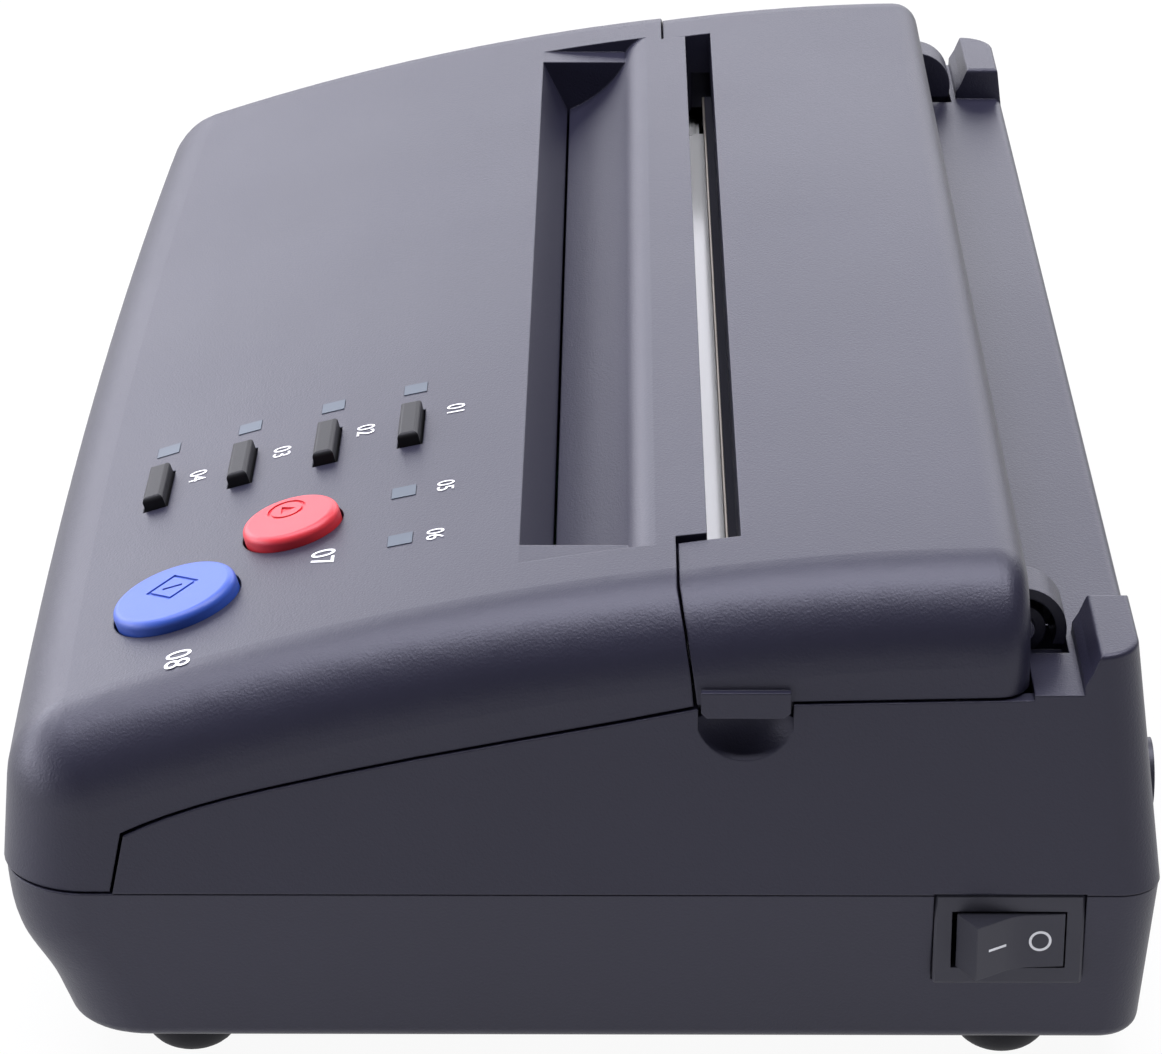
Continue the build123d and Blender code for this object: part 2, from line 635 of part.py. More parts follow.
IDLER_Y = (SCAN_Y + PLATEN_Y) / 2
IDLER_REACH = GEAR_MODULE * (ROLLER_TEETH + IDLER_TEETH) / 2
IDLER_Z = ROLLER_Z - math.sqrt(IDLER_REACH**2 - (PLATEN_Y - IDLER_Y) ** 2)
MOTOR_REACH = GEAR_MODULE * (PINION_TEETH + IDLER_TEETH) / 2
MOTOR_ANGLE = math.radians(195)
MOTOR_Y = IDLER_Y + MOTOR_REACH * math.cos(MOTOR_ANGLE)
MOTOR_Z = IDLER_Z + MOTOR_REACH * math.sin(MOTOR_ANGLE)
GEAR_OUT = GEAR_IN - GEAR_W


def gap_facing(teeth, own_angle, idler_angle, idler_gap):
    """Phase of a gear whose tooth fills the idler's gap, or whose gap takes its tooth.

    own_angle points from this gear's centre to the idler, idler_angle back again.
    """
    idler_pitch = 2 * math.pi / IDLER_TEETH
    past_gap = (idler_angle - idler_gap) / idler_pitch
    share = past_gap - math.floor(past_gap)
    return own_angle - (0.5 - share) * 2 * math.pi / teeth


def roller_gear(y):
    to_idler = math.atan2(IDLER_Z - ROLLER_Z, IDLER_Y - y)
    phase = gap_facing(ROLLER_TEETH, to_idler, to_idler + math.pi, 0.0)
    return spur_gear(ROLLER_TEETH, y, ROLLER_Z, phase, SHAFT_R, GEAR_OUT, GEAR_W)


# ---------------------------------------------------------------- feed mechanism
def side_plate():
    """Sheet steel cheek with a foot, holding the bushes."""
    outline = [(6, PAN_Z), (48, PAN_Z), (48, 33), (60.5, 41), (60.5, 52), (56.5, 57), (26, 57), (6, 50)]
    plate = poly_x(outline, PLATE_X, PLATE_X + PLATE_T)
    foot = span(PLATE_X - 9, PLATE_X + PLATE_T, 6, 48, PAN_Z, PAN_Z + PLATE_T)
    plate = plate + foot
    for x, y in FRAME_SCREWS[2:]:
        plate = plate - rod_z(1.4, x, y, PAN_Z - 1, PAN_Z + 3)
    for y in (SCAN_Y, PLATEN_Y):
        plate = plate - rod_x(BUSH_R, 110, 120, y, ROLLER_Z)
    return plate - rod_x(2.0, 110, 120, 19.5, 54.2)


def build_left_plate():
    plate = mirror(side_plate(), Plane.YZ)
    plate = plate - rod_x(2.0, -120, -110, IDLER_Y, IDLER_Z)
    return plate - rod_x(5.0, -120, -110, MOTOR_Y, MOTOR_Z)


def bush(y):
    """Flanged bearing bush in the right-hand plate."""
    body = rod_x(BUSH_R, PLATE_X - 0.8, PLATE_X + PLATE_T, y, ROLLER_Z)
    flange = rod_x(BUSH_R + 1.4, PLATE_X - 2.0, PLATE_X, y, ROLLER_Z)
    return body + flange - rod_x(SHAFT_R + RUN_CLEAR, 100, 130, y, ROLLER_Z)


def roller_shaft(y):
    return rod_x(SHAFT_R, GEAR_OUT - 0.8, PLATE_X + PLATE_T + 1.5, y, ROLLER_Z)


def roller_sleeve(y):
    sleeve = rod_x(ROLLER_R, -RUBBER_HALF, RUBBER_HALF, y, ROLLER_Z)
    return sleeve - rod_x(SHAFT_R, -110, 110, y, ROLLER_Z)


def build_backing_bar():
    """White bar under the document slot, with a stud at each end."""
    bar = span(-RUBBER_HALF, RUBBER_HALF, 13.5, 25.3, 52.6, 56.0)
    bar = fillet(pick(bar, lambda p, e: p.Z > 55.9 and e.length > 100), 1.4)
    studs = both_sides(rod_x(2.0, RUBBER_HALF - 1, PLATE_X + PLATE_T, 19.5, 54.2))
    tongue = both_sides(span(RUBBER_HALF, PLATE_X, 17.5, 21.5, 52.6, 55.6))
    return fuse(bar, studs + tongue)


def build_motor():
    """Round stepper motor on the inner face of the left plate."""
    body = rod_x(14.0, -PLATE_X, -PLATE_X + 20, MOTOR_Y, MOTOR_Z)
    body = chamfer(pick(body, lambda p, e: p.X > -PLATE_X + 19), 0.8)
    collar = rod_x(5.0, -PLATE_X - PLATE_T, -PLATE_X, MOTOR_Y, MOTOR_Z)
    collar = collar - rod_x(1.2, -120, -100, MOTOR_Y, MOTOR_Z)
    return body - rod_x(1.2, -120, -PLATE_X + 8, MOTOR_Y, MOTOR_Z) + collar


def build_motor_shaft():
    return rod_x(1.15, GEAR_OUT - 0.5, -PLATE_X + 7.9, MOTOR_Y, MOTOR_Z)


def build_idler_stud():
    stud = rod_x(2.0, GEAR_OUT - 0.4, -PLATE_X, IDLER_Y, IDLER_Z)
    washer = rod_x(3.4, -PLATE_X - PLATE_T - 2.2, -PLATE_X - PLATE_T, IDLER_Y, IDLER_Z)
    return stud + washer + rod_x(3.0, GEAR_OUT - 1.4, GEAR_OUT - 0.3, IDLER_Y, IDLER_Z)


def build_pan():
    """Steel tray that ties the side plates together over the base."""
    tray = span(-PLATE_X + 9, PLATE_X - 9, 8, 58, PAN_Z, PAN_Z + 1.2)
    lip = span(-PLATE_X + 9, PLATE_X - 9, 56.8, 58, PAN_Z, PAN_Z + 6)
    return cut(tray + lip, both_sides(rod_z(1.4, 62, 12, PAN_Z - 1, 20) + rod_z(1.4, 62, 52, PAN_Z - 1, 20)))


# ---------------------------------------------------------------- head assembly in the lid
def build_head_plate():
    """Sheet steel carrier under the lid for the sensor and the print head."""
    plate = span(-109.5, 109.5, 26.2, 59.0, HEAD_PLATE_Z, HEAD_PLATE_Z + HEAD_PLATE_T)
    stiffener = span(-109.5, 109.5, 40.4, 41.6, HEAD_PLATE_Z - 4.5, HEAD_PLATE_Z + 0.2)
    holes = [rod_z(1.6, x, y, 60, 70) for x, y in HEAD_SCREWS]
    return cut(plate + stiffener, holes)


def build_image_sensor():
    """Contact image sensor: a long housing with a glass strip underneath."""
    body = span(-SLOT_HALF, SLOT_HALF, 22.3, 38.8, HEAD_Z, 62.6)
    body = chamfer(pick(body, lambda p, e: p.Z < HEAD_Z + 0.1 and p.Y < 23 and e.length > 100), 0.8)
    return body - span(-107, 107, 28.5, 36.5, HEAD_Z - 1, HEAD_Z + 0.6)


def build_sensor_glass():
    return span(-107, 107, 28.5, 36.5, HEAD_Z, HEAD_Z + 0.6)


def build_print_head():
    """Aluminium heat sink of the thermal head, with fins on top."""
    sink = span(-SLOT_HALF, SLOT_HALF, 43.2, 59.6, 57.4, 60.0)
    fins = [span(-SLOT_HALF, SLOT_HALF, y, y + 1.4, 59.8, 62.6) for y in (43.2, 47.0, 54.4, 58.2)]
    return fuse(sink, fins)


def build_heater_strip():
    """Ceramic strip with the raised heater line that meets the platen."""
    strip = span(-SLOT_HALF, SLOT_HALF, 45.0, 58.0, 56.8, 57.4)
    return strip + span(-106, 106, PLATEN_Y - 0.8, PLATEN_Y + 0.8, HEAD_Z, 56.9)


def coil(radius, wire, turns, height):
    """Compression spring standing on the origin."""
    path = Helix(pitch=(height - wire * 1.2) / turns, height=height - wire * 1.2, radius=radius)
    section = Plane(origin=path @ 0, z_dir=path % 0) * RegularPolygon(wire / 2, 6)
    spring = sweep(section, path=path, is_frenet=True)
    return Pos(0, 0, wire * 0.6) * spring


SENSOR_SPRING_XY = ((-70.0, 34.0), (70.0, 34.0))
HEAD_SPRING_XY = ((-60.0, 51.5), (0.0, 51.5), (60.0, 51.5))


def spring_group(spots, z0, radius):
    """Springs that stand on z0 and press against the carrier above."""
    return [Pos(x, y, z0) * coil(radius, 0.6, 3, HEAD_PLATE_Z - z0) for x, y in spots]


# ---------------------------------------------------------------- controls
PROUD = 2.0               # how far a button stands above the cover
FLANGE_Z = -WALL - 0.3    # top of the flange that keeps a button in the cover
STEM_Z = -5.7
MARK_DEEP = 0.25          # depth of the marks in the round buttons


def start_mark():
    """Diamond outline with an upright bar in it."""
    ring = Rot(0, 0, 45) * (Box(5.7, 5.7, 2 * MARK_DEEP) - Box(4.6, 4.6, 1))
    return Pos(-1.5, -0.2, PROUD) * (ring + Box(0.55, 3.0, 2 * MARK_DEEP))


def stop_mark():
    """Ring with an upright triangle in it."""
    ring = Cylinder(2.9, 2 * MARK_DEEP) - Cylinder(2.35, 1)
    arrow = extrude(make_face(Polyline((-1.2, -0.8), (1.2, -0.8), (0, 1.4), close=True)), 1)
    return Pos(-2.6, -0.6, PROUD) * (ring + Pos(0, 0, -MARK_DEEP) * arrow)


def round_button(radius, mark):
    """Shallow button with a soft edge and a flange that stays under the cover."""
    cap = Pos(0, 0, (PROUD + FLANGE_Z) / 2) * Cylinder(radius, PROUD - FLANGE_Z)
    cap = fillet(pick(cap, lambda p, e: p.Z > 0), 1.1) - mark
    flange = Pos(0, 0, FLANGE_Z - 0.6) * Cylinder(radius + 1.4, 1.2)
    stem = Pos(0, 0, (FLANGE_Z + STEM_Z) / 2) * Cylinder(1.8, FLANGE_Z - STEM_Z)
    return cap + flange + stem


def bar_button():
    cap = Pos(0, 0, (PROUD + FLANGE_Z) / 2) * Box(MODE_LONG, MODE_WIDE, PROUD - FLANGE_Z)
    cap = fillet(pick(cap, lambda p, e: p.Z > PROUD - 0.1), 0.7)
    flange = Pos(0, 0, FLANGE_Z - 0.6) * Box(MODE_LONG + 2.2, MODE_WIDE + 2.2, 1.2)
    stem = Pos(0, 0, (FLANGE_Z + STEM_Z) / 2) * Cylinder(1.5, FLANGE_Z - STEM_Z)
    return cap + flange + stem


def lens(x, y):
    """Square light guide from the key board's lamp up to the cover's surface."""
    return panel(x, y) * (Pos(0, 0, -4.85) * Box(LENS_SIDE, LENS_SIDE, 9.9))


def on_board(x, y):
    """Place on the key board's top straight below the panel point x, y."""
    turn = math.radians(crown_tilt(BOARD_Y) - crown_tilt(y))
    return key_board_frame() * Pos(x - BOARD_X, (CROWN_R - BOARD_DROP) * math.tan(turn), 0)


def board_corners():
    dx = BOARD_LONG / 2 - 4
    dy = BOARD_WIDE / 2 - 4
    return [(sx * dx, sy * dy) for sx in (-1, 1) for sy in (-1, 1)]


def button_spots():
    return [COPY_XY, STOP_XY] + [(MODE_X, y) for y in MODE_YS]


def lens_spots():
    return [(LENS_X, y) for y in MODE_YS] + list(STATUS_LENSES)


def build_key_board():
    board = key_board_frame() * Pos(0, 0, -0.8) * Box(BOARD_LONG, BOARD_WIDE, 1.6)
    return cut(board, [key_board_frame() * Pos(x, y, 0) * Cylinder(1.3, 10) for x, y in board_corners()])


def tact_switch():
    body = Pos(0, 0, 1.75) * Box(6, 6, 3.5)
    return body + Pos(0, 0, 4.05) * Cylinder(1.7, 1.3)


def build_key_switches():
    return [on_board(x, y) * tact_switch() for x, y in button_spots()]


def build_board_lamps():
    return [on_board(x, y) * Pos(0, 0, 0.5) * Box(2.0, 1.2, 1.0) for x, y in lens_spots()]


def screw_z(x, y, head_z, length, head_r, shank_r, head_h):
    """Screw driven downwards with its head standing on head_z."""
    head = rod_z(head_r, x, y, head_z, head_z + head_h)
    return head + rod_z(shank_r, x, y, head_z - length, head_z)


def build_case_screws():
    screws = []
    for x, y in SCREW_SPOTS:
        screw = rod_z(3.0, x, y, 22.2, 24.0) + rod_z(1.5, x, y, 24.0, 43.0)
        screws += both_sides(screw)
    return screws


def build_frame_screws():
    screws = []
    for x, y in FRAME_SCREWS:
        top = PAN_Z + (PLATE_T if x > 100 else 1.2)
        screws += both_sides(screw_z(x, y, top, top - FLOOR_Z - 0.5, 2.6, 1.4, 1.6))
    return screws


def build_board_screws():
    screws = [screw_z(x, y, BOARD_Z + 1.6, 5.0, 2.3, 1.2, 1.4) for x, y in BOARD_POSTS + POWER_POSTS]
    for x, y in board_corners():
        shape = Pos(0, 0, -2.3) * Cylinder(2.3, 1.4) + Pos(0, 0, 1.7) * Cylinder(1.2, 6.6)
        screws.append(key_board_frame() * Pos(x, y, 0) * shape)
    return screws


def build_head_screws():
    screws = []
    for x, y in HEAD_SCREWS:
        head = rod_z(2.6, x, y, HEAD_PLATE_Z - 1.4, HEAD_PLATE_Z)
        screws.append(head + rod_z(1.25, x, y, HEAD_PLATE_Z, HEAD_PLATE_Z + 5.8))
    return screws


def board(x0, x1, y0, y1, spots):
    plate = span(x0, x1, y0, y1, BOARD_Z, BOARD_Z + 1.6)
    return cut(plate, [rod_z(1.2, x, y, 10, 20) for x, y in spots])


def build_main_board_parts():
    top = BOARD_Z + 1.6
    return [
        span(-12, 12, -46, -22, top, top + 1.6),
        span(20, 30, -50, -40, top, top + 1.4),
        span(-48, -28, -62, -56, top, top + 7),
        span(-50, -42, -44, -18, top, top + 6),
        span(28, 50, -12, -6.5, top, top + 6),
        rod_z(4.0, 40, -28, top, top + 11),
        rod_z(4.0, 50, -28, top, top + 11),
    ]


def build_power_parts():
    top = BOARD_Z + 1.6
    return [
        span(82, 104, -34, -16, top, top + 15),
        rod_z(5.0, 76, -34, top, top + 16),
        rod_z(4.0, 112, -22, top, top + 12),
        span(78, 108, -9, -7, top, top + 14),
        span(84, 96, -53, -45, top, top + 8),
    ]


def build_foot():
    top = BASE_Z + 1.0
    side = Polyline((7.2, 0, 4.6), (7.2, 0, top), (0, 0, top), (0, 0, 0), (4.0, 0, 0))
    dome = ThreePointArc((4.0, 0, 0), (6.2, 0, 1.7), (7.2, 0, 4.6))
    return revolve(make_face([side, dome]), Axis.Z)


# ---------------------------------------------------------------- switch and inlet
ROCKER_HALF = 6.55        # half length of the rocker's face
ROCKER_HIGH = 8.3
ROCKER_PIVOT_X = 132.9
ROCKER_V = 14.7           # slope of each half of the rocker's hollow face
ROCKER_TILT = 18.2        # how far it is pressed over to its rear half
ROCKER_DEPTH = 3.0        # from the pivot out to the middle of the face
ROCKER_PIN_R = 1.0


def switch_box(x0, x1, half_long, half_high):
    box = Box(x1 - x0, 2 * half_long, 2 * half_high)
    return Pos((x0 + x1) / 2, SWITCH_Y, SWITCH_Z) * box


def rocker_pin(radius, reach):
    return rod_z(radius, ROCKER_PIVOT_X, SWITCH_Y, SWITCH_Z - reach, SWITCH_Z + reach)


def build_switch_housing():
    bezel = switch_box(POCKET_X, BEZEL_X, BEZEL_LONG / 2, BEZEL_HIGH / 2)
    bezel = fillet(pick(bezel, lambda p, e: abs(e.length - (BEZEL_X - POCKET_X)) < 0.01), 0.5)
    bezel = chamfer(pick(bezel, lambda p, e: p.X > BEZEL_X - 0.01), 0.4)
    body = switch_box(114.0, POCKET_X, 9.5, 6.1)
    room = switch_box(122.0, 140.0, 7.95, 4.45)
    return bezel + body - room - rocker_pin(ROCKER_PIN_R + RUN_CLEAR, 5.2)


def build_switch_terminals():
    blades = []
    for y in (SWITCH_Y - 6.0, SWITCH_Y + 6.0):
        blades.append(span(106.0, 114.0, y - 0.4, y + 0.4, SWITCH_Z - 2.4, SWITCH_Z + 2.4))
    return blades


def build_rocker():
    """Rocker with a hollow two-part face, pressed over to its rear half."""
    rise = ROCKER_HALF * math.tan(math.radians(ROCKER_V))
    right = [(-4.0, 0), (-4.0, 4.0), (0.0, 7.65), (ROCKER_DEPTH + rise, ROCKER_HALF), (ROCKER_DEPTH, 0)]
    left = [(x, -u) for x, u in reversed(right[1:-1])]
    base_z = SWITCH_Z - ROCKER_HIGH / 2
    corners = [(ROCKER_PIVOT_X + x, SWITCH_Y + u, base_z) for x, u in right + left]
    rocker = extrude(make_face(Polyline(*corners, close=True)), amount=ROCKER_HIGH, dir=(0, 0, 1))
    fold = pick(rocker, lambda p, e: p.X > ROCKER_PIVOT_X + 2.9 and abs(p.Y - SWITCH_Y) < 0.1)
    rocker = fillet(fold, 7.0)
    pivot = Axis((ROCKER_PIVOT_X, SWITCH_Y, 0), (0, 0, 1))
    return (rocker + rocker_pin(ROCKER_PIN_R, 4.9)).rotate(pivot, ROCKER_TILT)


def build_power_inlet():
    """Round power socket in the rear wall."""
    wall_y = rear_y(INLET_Z)
    barrel = Pos(INLET_X, wall_y - 6.0, INLET_Z) * Rot(90, 0, 0) * Cylinder(4.6, 14.0)
    collar = Pos(INLET_X, wall_y, INLET_Z) * Rot(90, 0, 0) * Cylinder(5.4, 2.2)
    outside = poly_x([(rear_y(30), 30), (rear_y(50), 50), (95, 50), (95, 30)], 90, 130)
    body = span(INLET_X - 4.8, INLET_X + 4.8, wall_y - 17.0, wall_y - 4.2, INLET_Z - 5.0, INLET_Z + 5.0)
    inlet = barrel + (collar & outside) + body
    inlet = inlet - Pos(INLET_X, wall_y - 4.0, INLET_Z) * Rot(90, 0, 0) * Cylinder(2.9, 14.0)
    pin = Pos(INLET_X, wall_y - 7.0, INLET_Z) * Rot(90, 0, 0) * Cylinder(1.0, 12.0)
    return inlet + pin


# ---------------------------------------------------------------- writing the nodes
def main():
    save(build_base_shell(), "base_shell")
    save(build_body_casing(), "body_casing")
    save(build_front_cover(), "front_cover")
    save(build_lid_shell(), "lid_shell")
    save(Compound(children=[Pos(x, y, 0) * build_foot() for x, y in FOOT_XY]), "rubber_feet")
    save(panel(*COPY_XY) * round_button(COPY_R, start_mark()), "copy_button")
    save(panel(*STOP_XY) * round_button(STOP_R, stop_mark()), "stop_button")
    for number, y in enumerate(MODE_YS, start=1):
        save(panel(MODE_X, y) * bar_button(), "mode_button_" + str(number))
        save(lens(LENS_X, y), "mode_lens_" + str(number))
    save(lens(*STATUS_LENSES[0]), "power_lens")
    save(lens(*STATUS_LENSES[1]), "error_lens")
    save(build_key_board(), "key_board")
    save(Compound(children=build_key_switches()), "key_switches")
    save(Compound(children=build_board_lamps()), "board_lamps")
    save(board(-59, 59, -66, -4, BOARD_POSTS), "main_board")
    save(Compound(children=build_main_board_parts()), "main_board_parts")
    save(board(68, 118, -54, 4, POWER_POSTS), "power_board")
    save(Compound(children=build_power_parts()), "power_board_parts")
    save(build_left_plate(), "left_side_plate")
    save(side_plate(), "right_side_plate")
    save(build_pan(), "chassis_pan")
    save(build_backing_bar(), "white_backing_bar")
    for name, y in (("scan", SCAN_Y), ("platen", PLATEN_Y)):
        save(Compound(children=both_sides(bush(y))), name + "_roller_bushes")
        save(roller_shaft(y), name + "_roller_shaft")
        save(roller_sleeve(y), name + "_roller_rubber")
        save(roller_gear(y), name + "_roller_gear")
    save(spur_gear(IDLER_TEETH, IDLER_Y, IDLER_Z, 0.0, 2.0 + RUN_CLEAR, GEAR_OUT, GEAR_W), "idler_gear")
    save(build_idler_stud(), "idler_stud")
    pinion_phase = gap_facing(PINION_TEETH, MOTOR_ANGLE + math.pi, MOTOR_ANGLE, 0.0)
    pinion = spur_gear(PINION_TEETH, MOTOR_Y, MOTOR_Z, pinion_phase, 1.15, GEAR_OUT, GEAR_W)
    save(pinion, "motor_pinion")
    save(build_motor(), "feed_motor")
    save(build_motor_shaft(), "motor_shaft")
    save(build_head_plate(), "head_plate")
    save(build_image_sensor(), "image_sensor")
    save(build_sensor_glass(), "sensor_glass")
    save(build_print_head(), "print_head_heatsink")
    save(build_heater_strip(), "print_head_heater")
    save(Compound(children=spring_group(SENSOR_SPRING_XY, 62.6, 2.2)), "sensor_springs")
    save(Compound(children=spring_group(HEAD_SPRING_XY, 60.0, 2.4)), "print_head_springs")
    save(Compound(children=build_head_screws()), "head_screws")
    save(Compound(children=build_case_screws()), "case_screws")
    save(Compound(children=build_frame_screws()), "frame_screws")
    save(Compound(children=build_board_screws()), "board_screws")
    hinge_pin = rod_x(HINGE_PIN_R, HOOD_IN - 0.6, LUG_OUT + 0.4, PIVOT_Y, PIVOT_Z)
    save(Compound(children=both_sides(hinge_pin)), "hinge_pins")
    save(build_switch_housing(), "switch_housing")
    save(Compound(children=build_switch_terminals()), "switch_terminals")
    save(build_rocker(), "power_rocker")
    save(build_power_inlet(), "power_inlet")


if __name__ == "__main__":
    main()
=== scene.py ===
"""Looks for the thermal stencil copier: finishes, printed marks, lights and camera."""

import bpy
import math
from mathutils import Matrix, Vector


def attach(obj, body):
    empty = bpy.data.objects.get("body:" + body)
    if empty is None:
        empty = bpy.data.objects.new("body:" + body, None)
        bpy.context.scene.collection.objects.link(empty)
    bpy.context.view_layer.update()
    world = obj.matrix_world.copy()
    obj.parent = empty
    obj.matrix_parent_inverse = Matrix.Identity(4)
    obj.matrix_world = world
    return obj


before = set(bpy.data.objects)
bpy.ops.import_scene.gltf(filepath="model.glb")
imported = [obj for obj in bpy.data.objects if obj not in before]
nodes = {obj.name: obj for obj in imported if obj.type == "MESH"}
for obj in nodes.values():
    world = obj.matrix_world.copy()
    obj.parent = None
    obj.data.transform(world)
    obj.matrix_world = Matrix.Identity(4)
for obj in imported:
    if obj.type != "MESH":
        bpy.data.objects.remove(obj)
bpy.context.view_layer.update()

# ------------------------------------------------------------------ sizes, in metres
CROWN_R = 0.4095
CROWN_Y = 0.063
CROWN_TOP = 0.07685

PRINT_THICK = 0.00003      # half the thickness of the printed numbers
PRINT_LIFT = 0.00004
BODY_PER_HEIGHT = 1.42     # font size for one unit of a numeral's height
MODE_MARK_HIGH = 0.0028
LAMP_MARK_HIGH = 0.0026
STOP_MARK_HIGH = 0.0036
COPY_MARK_HIGH = 0.0038

ROCKER_PIVOT = (0.1309, 0.0606, 0.0239)
ROCKER_PRESS = math.radians(18.2)    # turn of the rocker at rest
ROCKER_SLOPE = math.radians(14.7)    # tilt of each half of its face
ROCKER_FOLD = 0.003                  # from the pivot to the fold between the halves
ROCKER_LIFT = 0.00002
LINE_SIZE = (0.0030, 0.00038, 0.00006)
LINE_ALONG = 0.0032
RING_R = 0.00158
RING_INNER_SHARE = 0.77
RING_THICK = 0.00005
RING_ALONG = 0.0034

EDGE_STRIP_SIZE = (0.2190, 0.00045, 0.0012)
EDGE_STRIP_PLACE = (-0.002, 0.02215, 0.0622)

# Name, text, place on the cover and height of each printed number.
MARKS = (
    ("mode_mark_1", "01", (0.0508, -0.0185), MODE_MARK_HIGH),
    ("mode_mark_2", "02", (0.0519, -0.0322), MODE_MARK_HIGH),
    ("mode_mark_3", "03", (0.0528, -0.0450), MODE_MARK_HIGH),
    ("mode_mark_4", "04", (0.0534, -0.0579), MODE_MARK_HIGH),
    ("power_mark", "05", (0.0790, -0.0190), LAMP_MARK_HIGH),
    ("error_mark", "06", (0.0955, -0.0199), LAMP_MARK_HIGH),
    ("stop_mark", "07", (0.0955, -0.0361), STOP_MARK_HIGH),
    ("copy_mark", "08", (0.1178, -0.0550), COPY_MARK_HIGH),
)

CAMERA_PLACE = (0.6519, 0.0061, 0.3256)
CAMERA_PITCH = math.radians(24.71)
CAMERA_YAW = math.radians(0.522)
CAMERA_ROLL = math.radians(-0.155)
LENS_MM = 133.2
SENSOR_MM = 36.0

FLOOR_SIZE = 6.0
FLOOR_Z = -0.0003
FLOOR_PAINT = 0.78
BACKGROUND_SHARE = 0.94    # how much of the floor is plain white to the camera and in reflections
WORLD_STRENGTH = 0.08
LAMP_COLOUR = (0.94, 0.94, 1.0)

# Name, place, aim, width, height and watts of each softbox.
SOFTBOXES = (
    ("back_softbox", (-1.55, 0.0, 0.62), (0.0, 0.0, 0.06), 2.6, 0.9, 22.0),
    ("ceiling_softbox", (-0.20, 0.0, 1.10), (0.0, 0.0, 0.07), 1.6, 0.6, 18.6),
    ("strip_softbox", (0.16, 0.0, 1.10), (0.10, 0.0, 0.07), 1.4, 0.3, 10.0),
    ("front_softbox", (-0.65, -1.40, 0.66), (0.0, 0.0, 0.05), 1.8, 1.0, 22.0),
    ("nose_softbox", (0.10, -1.50, 0.28), (0.0, 0.0, 0.05), 1.3, 0.5, 10.0),
    ("far_softbox", (-1.10, -1.0, 0.80), (0.0, 0.0, 0.06), 1.0, 0.7, 5.0),
)


# ------------------------------------------------------------------ the case's form
def crown_height(y):
    """Height of the cover's crown at y."""
    return CROWN_TOP - CROWN_R + math.sqrt(CROWN_R**2 - (y - CROWN_Y) ** 2)


def crown_tilt(y):
    """Angle that the cover's crown falls towards the front at y."""
    return math.asin((CROWN_Y - y) / CROWN_R)


# ------------------------------------------------------------------ shader helpers
SHEEN_SPREAD = 0.012
# Painted reflection tint: a cool blue put into the plastics' reflections in place of the bluish
# colour of the back softbox's light.
PAINTED_REFLECTION_TINT = (0.87, 0.865, 1.0, 1.0)


def new_material(name):
    material = bpy.data.materials.new(name)
    material.use_nodes = True
    tree_nodes = material.node_tree.nodes
    return material, tree_nodes, material.node_tree.links, tree_nodes["Principled BSDF"]


def object_noise(tree_nodes, links, scale, detail=2.0, roughness=0.5):
    coordinates = tree_nodes.new("ShaderNodeTexCoord")
    noise = tree_nodes.new("ShaderNodeTexNoise")
    noise.inputs["Scale"].default_value = scale
    noise.inputs["Detail"].default_value = detail
    noise.inputs["Roughness"].default_value = roughness
    links.new(coordinates.outputs["Object"], noise.inputs["Vector"])
    return noise


def ramp(tree_nodes, links, source, low, high):
    """Colour ramp from low to high over the middle of the noise's range."""
    node = tree_nodes.new("ShaderNodeValToRGB")
    node.color_ramp.elements[0].position = 0.35
    node.color_ramp.elements[1].position = 0.65
    node.color_ramp.elements[0].color = low
    node.color_ramp.elements[1].color = high
    links.new(source, node.inputs["Fac"])
    return node


def grey(value):
    return (value, value, value, 1.0)


def tinted(colour, share):
    return (colour[0] * share, colour[1] * share, colour[2] * share, 1.0)


def moulded_plastic(name, colour, roughness, grain_scale, grain_depth, mottle=0.03, specular=0.5):
    """Injection-moulded plastic: spark-eroded grain, faint mottling and handling sheen."""
    material, tree_nodes, links, shader = new_material(name)
    grain = object_noise(tree_nodes, links, grain_scale, 3.0, 0.6)
    cloud = object_noise(tree_nodes, links, 38.0, 4.0, 0.55)
    dark = tinted(colour, 1 - mottle)
    light = tinted(colour, 1 + mottle)
    tone = ramp(tree_nodes, links, cloud.outputs["Fac"], dark, light)
    sheen_map = object_noise(tree_nodes, links, 14.0, 3.0, 0.5)
    smooth = grey(roughness - SHEEN_SPREAD)
    matt = grey(roughness + SHEEN_SPREAD)
    sheen = ramp(tree_nodes, links, sheen_map.outputs["Fac"], smooth, matt)
    bump = tree_nodes.new("ShaderNodeBump")
    bump.inputs["Strength"].default_value = 0.5
    bump.inputs["Distance"].default_value = grain_depth
    links.new(grain.outputs["Fac"], bump.inputs["Height"])
    links.new(tone.outputs["Color"], shader.inputs["Base Color"])
    links.new(sheen.outputs["Color"], shader.inputs["Roughness"])
    links.new(bump.outputs["Normal"], shader.inputs["Normal"])
    shader.inputs["Specular IOR Level"].default_value = specular
    # Painted reflection tint: the reflections are tinted cool blue to stand for the lamp's colour.
    shader.inputs["Specular Tint"].default_value = PAINTED_REFLECTION_TINT
    return material


def soften_edges(material, radius):
    """Let light catch the small rounding that every moulded edge has."""
    tree_nodes = material.node_tree.nodes
    rounding = tree_nodes.new("ShaderNodeBevel")
    rounding.samples = 6
    rounding.inputs["Radius"].default_value = radius
    bump = next(node for node in tree_nodes if node.bl_idname == "ShaderNodeBump")
    material.node_tree.links.new(rounding.outputs["Normal"], bump.inputs["Normal"])


